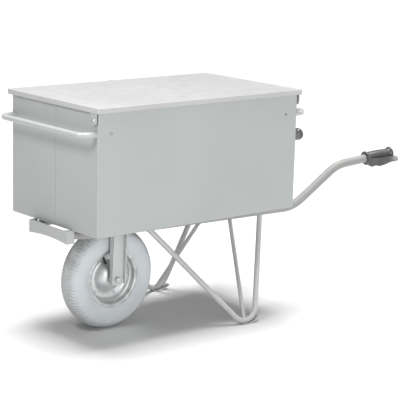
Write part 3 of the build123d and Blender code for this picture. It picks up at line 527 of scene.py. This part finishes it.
def build_rim(side, name, node_name):
    face, roll = rim_face()
    back = offset_outline(face, RIM_GAUGE)
    loop = face + roll + list(reversed(back))
    vertices = []
    for step in range(RIM_STEPS):
        angle = 2 * pi * step / RIM_STEPS
        for y, radius in loop:
            vertices.append(about_axle(side * y * MM, radius * MM, angle))
    faces = grid_faces(RIM_STEPS, len(loop))
    add_piece(name, vertices, faces, RIM_METAL, "wheel",
              replaces=(node_name,), smooth_angle=50)


build_rim(-1, "near_pressed_rim", "near_rim_half")
build_rim(1, "far_pressed_rim", "far_rim_half")


# ---------------------------------------------------------------- shared shapes
def merge_shapes(shapes):
    """Several (vertices, faces) shapes as one."""
    vertices, faces = [], []
    for some_vertices, some_faces in shapes:
        first = len(vertices)
        vertices += some_vertices
        faces += [tuple(first + k for k in face) for face in some_faces]
    return vertices, faces


def axes_round(direction):
    """Two unit vectors square to a direction and to each other."""
    direction = Vector(direction).normalized()
    helper = Vector((0, 0, 1)) if abs(direction.z) < 0.9 else Vector((1, 0, 0))
    first = direction.cross(helper).normalized()
    return first, direction.cross(first)


def turned(place, direction, outline, steps, corners=0):
    """A closed solid turned round a line from (distance along, radius) points in metres.
    With corners, radii past the flats follow a polygon of that many sides."""
    direction = Vector(direction).normalized()
    first, second = axes_round(direction)
    rings = []
    for step in range(steps):
        angle = 2 * pi * step / steps
        reach = 1.0
        if corners:
            sector = 2 * pi / corners
            reach = 1.0 / cos((angle % sector) - sector / 2)
        side = first * cos(angle) + second * sin(angle)
        ring = []
        for along, radius in outline:
            hexed = radius * reach if corners and radius > 0.97 * outline_flat(outline) else radius
            drop = 0.45 * max(0.0, hexed - radius) if along == outline_top(outline) else 0.0
            ring.append(Vector(place) + direction * (along - drop) + side * hexed)
        rings += ring
    vertices = rings + [Vector(place) + direction * outline[0][0],
                        Vector(place) + direction * outline[-1][0]]
    columns = len(outline)
    faces = grid_faces(steps, columns, close_columns=False)
    for step in range(steps):
        following = (step + 1) % steps
        faces.append((len(rings), step * columns, following * columns))
        faces.append((len(rings) + 1, following * columns + columns - 1,
                      step * columns + columns - 1))
    return vertices, faces


def outline_flat(outline):
    """Half the distance across the flats of a hexagon outline."""
    return max(radius for _, radius in outline)


def outline_top(outline):
    """Where along the line the hexagon's chamfered top edge lies."""
    return max(along for along, radius in outline if radius >= 0.97 * outline_flat(outline))


def hex_head(place, direction, corner_radius, height):
    """A chamfered hexagon head or nut standing on a place."""
    flat = corner_radius * cos(pi / 6)
    outline = [(0, 0.9 * flat), (0, flat), (height * 0.1, flat), (height * 0.9, flat),
               (height, 0.93 * flat), (height, 0.5 * flat)]
    return turned(place, direction, outline, 36, corners=6)


def threaded_end(place, direction, radius, length, pitch):
    """The end of a threaded shank, with its turns and a chamfered tip."""
    outline = [(0, radius * 0.9)]
    turns = int(length / pitch)
    for turn in range(turns):
        outline += [((turn + 0.25) * pitch, radius), ((turn + 0.75) * pitch, radius - 0.55 * pitch)]
    outline += [(length - 0.3 * pitch, radius * 0.86), (length, radius * 0.72)]
    return turned(place, direction, outline, 24)


def cup_head(place, direction, radius, height, socket):
    """A domed screw head standing on a place, with a round socket."""
    outline = [(0, radius * 0.96), (height * 0.18, radius)]
    dome = [(height * sin(radians(a)), radius * cos(radians(a)) ** 0.8) for a in (28, 45, 60, 72)]
    outline += [p for p in dome if p[1] > socket * 1.15]
    outline += [(height, socket * 1.12), (height * 0.94, socket), (height * 0.4, socket * 0.97)]
    return turned(place, direction, outline, 30)


def add_shapes(name, shapes, material, replaces=(), body="barrow", smooth_angle=40):
    vertices, faces = merge_shapes(shapes)
    return add_piece(name, vertices, faces, material, body, replaces, smooth_angle)


# ---------------------------------------------------------------- bolts and nuts
WASHER_FACE = 69 * MM             # outer face of an axle washer from the centre plane
RIM_FACE = 2.5 * MM               # outer face of a rim half at its bolts
RIM_BOLT_CIRCLE = 79 * MM
RIM_BOLT_ANGLES = [150 + 72 * i for i in range(5)]
HINGE_HEAD_HEIGHT = 7 * MM
HINGE_PIN_RADIUS = 5 * MM
HINGE_SHANK_LENGTH = 22.2 * MM
NEAR_SIDE = Vector((0, -1, 0))
FAR_SIDE = Vector((0, 1, 0))


def shank(place, direction, radius, length):
    outline = [(0, radius * 0.9), (0, radius), (length, radius), (length, radius * 0.9)]
    return turned(place, direction, outline, 24)


def build_axle_bolt():
    head_place = WHEEL + NEAR_SIDE * WASHER_FACE
    nut_place = WHEEL + FAR_SIDE * WASHER_FACE
    bolt = [hex_head(head_place, NEAR_SIDE, 10.5 * MM, 8 * MM),
            shank(head_place, FAR_SIDE, 6 * MM, 2 * WASHER_FACE),
            threaded_end(nut_place, FAR_SIDE, 6 * MM, 14 * MM, 1.75 * MM)]
    add_shapes("hex_axle_bolt", bolt, ZINC, ("axle_bolt",))
    nut = [hex_head(nut_place, FAR_SIDE, 10.5 * MM, 10 * MM)]
    add_shapes("hex_axle_nut", nut, ZINC, ("axle_nut",))


def build_rim_bolts():
    bolts, nuts = [], []
    for angle in RIM_BOLT_ANGLES:
        place = WHEEL + RIM_BOLT_CIRCLE * Vector((cos(radians(angle)), 0, sin(radians(angle))))
        near, far = place + NEAR_SIDE * RIM_FACE, place + FAR_SIDE * RIM_FACE
        bolts += [hex_head(near, NEAR_SIDE, 5.8 * MM, 4 * MM),
                  shank(near, FAR_SIDE, 3 * MM, 2 * RIM_FACE),
                  threaded_end(far, FAR_SIDE, 3 * MM, 6 * MM, 1.0 * MM)]
        nuts.append(hex_head(far, FAR_SIDE, 5.8 * MM, 4 * MM))
    add_shapes("hex_rim_bolts", bolts, ZINC, ("rim_bolts",), body="wheel")
    add_shapes("hex_rim_nuts", nuts, ZINC, ("rim_nuts",), body="wheel")


def build_hinge_bolts():
    low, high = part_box("hinge_bolts")
    middle = (low + high) / 2
    bolts = []
    for end_x, outward in ((low.x, -1), (high.x, 1)):
        under_head = Vector((end_x - outward * HINGE_HEAD_HEIGHT, middle.y, middle.z))
        direction = Vector((outward, 0, 0))
        bolts += [cup_head(under_head, direction, (high.z - low.z) / 2, HINGE_HEAD_HEIGHT,
                           socket=3.5 * MM),
                  shank(under_head, -direction, HINGE_PIN_RADIUS, HINGE_SHANK_LENGTH)]
    add_shapes("socket_hinge_bolts", bolts, ZINC, ("hinge_bolts",))


build_axle_bolt()
build_rim_bolts()
build_hinge_bolts()


# ---------------------------------------------------------------- routes of the tubes
def rounded_route(points, bends, steps=14):
    """A tube's centreline: straight runs joined by arcs, as points."""
    route = [points[0]]
    for before, corner, after, bend in zip(points, points[1:], points[2:], bends):
        back = (before - corner).normalized()
        ahead = (after - corner).normalized()
        half = back.angle(ahead) / 2
        centre = corner + (back + ahead).normalized() * (bend / sin(half))
        start = corner + back * (bend / tan(half))
        spoke = start - centre
        axis = back.cross(ahead).normalized()
        turn = -(pi - 2 * half)
        for step in range(steps + 1):
            route.append(centre + Matrix.Rotation(turn * step / steps, 3, axis) @ spoke)
    route.append(points[-1])
    return route


def distance_to_route(point, route):
    best = 1e9
    for start, end in zip(route, route[1:]):
        along = end - start
        share = max(0.0, min(1.0, (point - start).dot(along) / along.length_squared))
        best = min(best, (start + along * share - point).length)
    return best


RAIL_ROUTE_POINTS = [from_front(-40, 71.3, RAIL_Z), from_front(70, 135, RAIL_Z),
                     from_front(1029, 196, RAIL_Z), from_front(1236, 229, 568),
                     from_front(1490, 273, 598.5)]
RAIL_ROUTE = rounded_route(RAIL_ROUTE_POINTS, [80 * MM, 150 * MM, 150 * MM])
LEG_ROUTE_POINTS = [from_front(330.4, 149.6, 402), from_front(738, 307, -48.4),
                    from_front(861, 183, 404)]
LEG_ROUTE = rounded_route(LEG_ROUTE_POINTS, [60 * MM])
BRACE_BOTTOM = from_front(711, 277, 19)
BRACE_TOP = from_front(812, 46, RAIL_Z)
CROSS_TUBE = [from_front(812, 182, RAIL_Z), from_front(812, -182, RAIL_Z)]
CROSS_TUBE_RADIUS = 13.45 * MM
CROSSBAR_BACK_X = BOX_FRONT_X - 21 * MM


# ---------------------------------------------------------------- welds
WELD_STEP = 0.9 * MM
WELD_RIPPLE = 2.4 * MM


def weld_bead(path, radius, closed=True):
    """A rippled bead laid along points, as overlapping puddles."""
    length, stations = 0.0, []
    count = len(path) if closed else len(path) - 1
    for i in range(count):
        start, end = path[i], path[(i + 1) % len(path)]
        steps = max(1, round((end - start).length / WELD_STEP))
        for step in range(steps):
            stations.append((start.lerp(end, step / steps), length))
            length += (end - start).length / steps
    if not closed:
        stations.append((path[-1], length))
    around = 8
    vertices = []
    total = len(stations)
    for i, (centre, travelled) in enumerate(stations):
        before = stations[i - 1][0] if closed or i else centre
        after = stations[(i + 1) % total][0] if closed or i < total - 1 else centre
        first, second = axes_round(after - before)
        puddle = (travelled % WELD_RIPPLE) / WELD_RIPPLE
        size = radius * (0.86 + 0.16 * sin(pi * puddle))
        size *= 1 + 0.12 * noise.noise(centre * 400)
        if not closed and i in (0, total - 1):
            size *= 0.4
        for k in range(around):
            angle = 2 * pi * k / around
            vertices.append(centre + first * (size * cos(angle)) + second * (size * sin(angle)))
    faces = grid_faces(total, around, close_rows=closed)
    if not closed:
        faces.append(tuple(range(around)))
        faces.append(tuple(reversed(range((total - 1) * around, total * around))))
    return vertices, faces


def joint_ring(end, away, tube_radius, inside, reach=60 * MM, steps=32):
    """Closed line where a round tube's surface meets another part.
    inside(point) is true within the other part; away points back along the tube from it.
    Where the tube's end stops short of the other part, the line follows the end itself."""
    away = away.normalized()
    first, second = axes_round(away)
    ring = []
    for step in range(steps):
        angle = 2 * pi * step / steps
        side = first * (tube_radius * cos(angle)) + second * (tube_radius * sin(angle))
        if not inside(end + side):
            ring.append(end + side)
            continue
        clear, buried = reach, 0.0
        for _ in range(18):
            middle = (clear + buried) / 2
            if inside(end + side + away * middle):
                buried = middle
            else:
                clear = middle
        ring.append(end + side + away * clear)
    return ring


def across(points):
    """The same points on the far side."""
    return [Vector((p.x, -p.y, p.z)) for p in points]


def in_tube(route, radius):
    return lambda point: distance_to_route(point, route) < radius


def build_welds():
    in_rail = in_tube(RAIL_ROUTE, RAIL_RADIUS)
    in_leg = in_tube(LEG_ROUTE, LEG_RADIUS)
    in_cross_tube = in_tube(CROSS_TUBE, CROSS_TUBE_RADIUS)
    front_arm, corner, rear_arm = LEG_ROUTE_POINTS
    rings = {
        "leg_welds": [
            (joint_ring(front_arm, corner - front_arm, LEG_RADIUS, in_rail), 2.1 * MM),
            (joint_ring(rear_arm, corner - rear_arm, LEG_RADIUS, in_rail), 2.1 * MM)],
        "brace_welds": [
            (joint_ring(BRACE_BOTTOM, BRACE_TOP - BRACE_BOTTOM, BRACE_RADIUS, in_leg), 1.8 * MM),
            (joint_ring(BRACE_TOP, BRACE_BOTTOM - BRACE_TOP, BRACE_RADIUS, in_cross_tube),
             1.8 * MM)],
        "cross_tube_welds": [
            (joint_ring(CROSS_TUBE[0], CROSS_TUBE[1] - CROSS_TUBE[0], CROSS_TUBE_RADIUS,
                        in_rail), 2.0 * MM)],
        "crossbar_welds": [
            (joint_ring(RAIL_ROUTE_POINTS[0], RAIL_ROUTE_POINTS[1] - RAIL_ROUTE_POINTS[0],
                        RAIL_RADIUS, lambda p: p.x < CROSSBAR_BACK_X), 2.2 * MM)],
    }
    for name, found in rings.items():
        beads = [weld_bead(side(ring), radius) for ring, radius in found
                 for side in (list, across)]
        add_shapes(name, beads, WELD, smooth_angle=80)
    build_fork_welds()


def build_fork_welds():
    low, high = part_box("near_fork_leg")
    bridge_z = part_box("fork_bridge_plate")[0].z
    z = bridge_z - 0.8 * MM
    outline = [Vector((low.x, low.y, z)), Vector((low.x, high.y, z)), Vector((high.x, high.y, z)),
               Vector((high.x, low.y, z))]
    beads = [weld_bead(side(outline), 2.2 * MM, closed=False) for side in (list, across)]
    add_shapes("fork_welds", beads, WELD, smooth_angle=80)


build_welds()


# ---------------------------------------------------------------- safety grips
GRIP_TUBE_INSET = 120 * MM
GRIP_AHEAD = (RAIL_ROUTE_POINTS[4] - RAIL_ROUTE_POINTS[3]).normalized()
GRIP_START = RAIL_ROUTE_POINTS[4] - GRIP_AHEAD * GRIP_TUBE_INSET
GRIP_OUTBOARD = Vector((0, -1, 0)) - GRIP_AHEAD * -GRIP_AHEAD.y
GRIP_OUTBOARD.normalize()
GRIP_UP = GRIP_OUTBOARD.cross(GRIP_AHEAD)
GUARD_START, GUARD_END = 4, 161                # along the grip, in millimetres
GUARD_HALF_THICKNESS = 2.4
GUARD_EDGES = 24
GUARD_PLAN = [(GUARD_START, 19), (26, 36), (62, 45), (108, 37.5), (GUARD_END, 12)]
GUARD_TOP = [(0, 4), (34, 2.5), (64, 0), (114, -4), (140, -10), (164, -20)]
GUARD_BOTTOM = [(0, -23), (16, -32.5), (28, -28), (44, -32.5), (56, -31), (104, -27),
                (134, -33), (164, -37)]


def smooth_value(points, x):
    """Catmull-Rom curve through (x, value) points."""
    if x <= points[0][0]:
        return points[0][1]
    for i in range(len(points) - 1):
        if x <= points[i + 1][0]:
            break
    before = points[max(i - 1, 0)]
    (x1, y1), (x2, y2) = points[i], points[i + 1]
    after = points[min(i + 2, len(points) - 1)]
    t = min(1.0, (x - x1) / (x2 - x1))
    slope1 = (y2 - before[1]) / (x2 - before[0]) * (x2 - x1)
    slope2 = (after[1] - y1) / (after[0] - x1) * (x2 - x1)
    return ((2 * t ** 3 - 3 * t ** 2 + 1) * y1 + (t ** 3 - 2 * t ** 2 + t) * slope1
            + (-2 * t ** 3 + 3 * t ** 2) * y2 + (t ** 3 - t ** 2) * slope2)


def grip_point(along, outboard, up):
    """A point in the near grip's own directions, from millimetres."""
    return (GRIP_START + GRIP_AHEAD * (along * MM) + GRIP_OUTBOARD * (outboard * MM)
            + GRIP_UP * (up * MM))


def sleeve_outline():
    """(along, radius) in metres from the bore's mouth round the outside to the bore's floor."""
    outline = [(0.6, 17.0), (0, 18.5), (0, 25.4), (0.8, 27.6), (2.4, 28.8), (4.6, 29),
               (6.8, 28.4), (8.6, 26.6), (10.4, 25.0), (12.5, 24.4)]
    rib_count = 15
    for rib in range(rib_count):
        x = 15 + rib * 6.4
        radius = 24.2 - 3.4 * smoothstep(x, 55, 112)
        outline += [(x, radius), (x + 1.6, radius + 0.5), (x + 3.4, radius + 0.5),
                    (x + 5.0, radius)]
    outline += [(113, 20.7), (116, 21.3), (119, 22.6), (121.5, 24.6), (123.8, 25.8), (126.5, 26),
                (129, 25.6), (131.4, 24.0), (133.4, 21.0), (134.6, 16), (135, 8), (135, 1.5)]
    bore = [(119.8, 1.5), (119.8, 17.0)]
    return [(x * MM, radius * MM) for x, radius in outline], [(x * MM, r * MM) for x, r in bore]


def sleeve_shape():
    outline, bore = sleeve_outline()
    loop = outline + bore
    steps = 56
    vertices = []
    for step in range(steps):
        angle = 2 * pi * step / steps
        side = GRIP_OUTBOARD * cos(angle) + GRIP_UP * sin(angle)
        palm = 1.0 - 0.035 * (0.5 - 0.5 * cos(2 * angle))
        for x, radius in loop:
            shaped = radius * palm if 10 * MM < x < 119 * MM and radius > 18 * MM else radius
            vertices.append(GRIP_START + GRIP_AHEAD * x + side * shaped)
    return vertices, grid_faces(steps, len(loop))


def guard_shape():
    """The knuckle guard: a band with rounded edges, its height set by two outlines."""
    stations = 40
    vertices = []
    for step in range(stations + 1):
        x = GUARD_START + (GUARD_END - GUARD_START) * step / stations
        y = smooth_value(GUARD_PLAN, x)
        ahead, behind = min(x + 1, GUARD_END), max(x - 1, GUARD_START)
        slope = smooth_value(GUARD_PLAN, ahead) - smooth_value(GUARD_PLAN, behind)
        slope /= ahead - behind
        normal = Vector((-slope, 1)).normalized()
        top, bottom = smooth_value(GUARD_TOP, x), smooth_value(GUARD_BOTTOM, x)
        swell = GUARD_HALF_THICKNESS * (1.0 + 0.5 * smoothstep(x, 40, 4))
        tip = 1 - 0.55 * smoothstep(x, 152, GUARD_END)
        middle, reach = (top + bottom) / 2, (top - bottom) / 2 * tip
        ring = []
        for edge in range(GUARD_EDGES):
            angle = 2 * pi * edge / GUARD_EDGES
            across_share, up_share = cos(angle), sin(angle)
            bead = 1 + 0.5 * smoothstep(abs(up_share), 0.8, 1.0)
            sideways = swell * bead * abs(across_share) ** 0.35 * (1 if across_share > 0 else -1)
            up = middle + reach * (abs(up_share) ** 0.45) * (1 if up_share > 0 else -1)
            ring.append(grip_point(x + normal.x * sideways, y + normal.y * sideways, up))
        vertices += ring
    faces = grid_faces(stations + 1, GUARD_EDGES, close_rows=False)
    faces.append(tuple(reversed(range(GUARD_EDGES))))
    faces.append(tuple(range(stations * GUARD_EDGES, (stations + 1) * GUARD_EDGES)))
    return vertices, faces


def build_grips():
    vertices, faces = merge_shapes([sleeve_shape(), guard_shape()])
    for side, name, node_name in ((1, "near_moulded_grip", "near_grip"),
                                  (-1, "far_moulded_grip", "far_grip")):
        placed = [Vector((p.x, p.y * side, p.z)) for p in vertices]
        add_piece(name, placed, faces, GRIP_PLASTIC, "barrow", (node_name,), 60)


build_grips()


# ---------------------------------------------------------------- floor, light and camera
def build_floor():
    mesh = bpy.data.meshes.new("studio_floor")
    reach = 60.0
    mesh.from_pydata([(-reach, -reach, 0), (reach, -reach, 0), (reach, reach, 0),
                      (-reach, reach, 0)], [], [(0, 1, 2, 3)])
    mesh.materials.append(studio_floor())
    floor = bpy.data.objects.new("studio_floor", mesh)
    bpy.context.scene.collection.objects.link(floor)


def aim(target_object, place, target):
    """Put a light or camera at a place, looking at a target."""
    target_object.location = place
    direction = Vector(target) - Vector(place)
    target_object.rotation_euler = direction.to_track_quat("-Z", "Y").to_euler()


def add_sun(name, strength, spread, place):
    light = bpy.data.lights.new(name, "SUN")
    light.energy = strength
    light.angle = radians(spread)
    lamp = bpy.data.objects.new(name, light)
    bpy.context.scene.collection.objects.link(lamp)
    aim(lamp, place, (0, 0, 0.4))


def add_softbox(name, power, width, height, place, target=(0, 0, 0.5)):
    light = bpy.data.lights.new(name, "AREA")
    light.shape = "RECTANGLE"
    light.size = width
    light.size_y = height
    light.energy = power
    lamp = bpy.data.objects.new(name, light)
    bpy.context.scene.collection.objects.link(lamp)
    aim(lamp, place, target)


def build_studio():
    world = bpy.data.worlds.new("studio")
    world.use_nodes = True
    background = world.node_tree.nodes["Background"]
    background.inputs["Color"].default_value = (1.0, 1.0, 1.0, 1.0)
    background.inputs["Strength"].default_value = 0.18
    bpy.context.scene.world = world
    add_sun("overhead", 5.0, 30, (0.2, 0.3, 4))
    add_softbox("side_box", 90, 2.2, 2.2, (-1.1, -4.4, 1.5))
    add_softbox("front_box", 11, 0.4, 0.4, (-1.75, -0.45, 1.75))
    add_softbox("rear_strip", 22, 0.5, 2.2, (3.0, -0.6, 1.2))
    bpy.context.scene.view_settings.view_transform = "Standard"


CAMERA_PLACE = from_front(-2973.2, 4353.2, 1677.7)
CAMERA_AZIMUTH = radians(40.19)
CAMERA_DOWN = radians(12.234)
CAMERA_ROLL = radians(1.543)
CAMERA_LENS = 131.7
SENSOR = 36.0


def build_camera():
    data = bpy.data.cameras.new("camera")
    data.lens = CAMERA_LENS
    data.sensor_width = SENSOR
    data.clip_end = 200.0
    camera = bpy.data.objects.new("camera", data)
    bpy.context.scene.collection.objects.link(camera)
    ahead = Vector((sin(CAMERA_AZIMUTH) * cos(CAMERA_DOWN), cos(CAMERA_AZIMUTH) * cos(CAMERA_DOWN),
                    -sin(CAMERA_DOWN)))
    level = ahead.cross(Vector((0, 0, 1))).normalized()
    upward = level.cross(ahead)
    right = level * cos(CAMERA_ROLL) + upward * sin(CAMERA_ROLL)
    up = upward * cos(CAMERA_ROLL) - level * sin(CAMERA_ROLL)
    turn = Matrix((right, up, -ahead)).transposed()
    camera.matrix_world = Matrix.Translation(CAMERA_PLACE) @ turn.to_4x4()
    bpy.context.scene.camera = camera


build_floor()
build_studio()
build_camera()
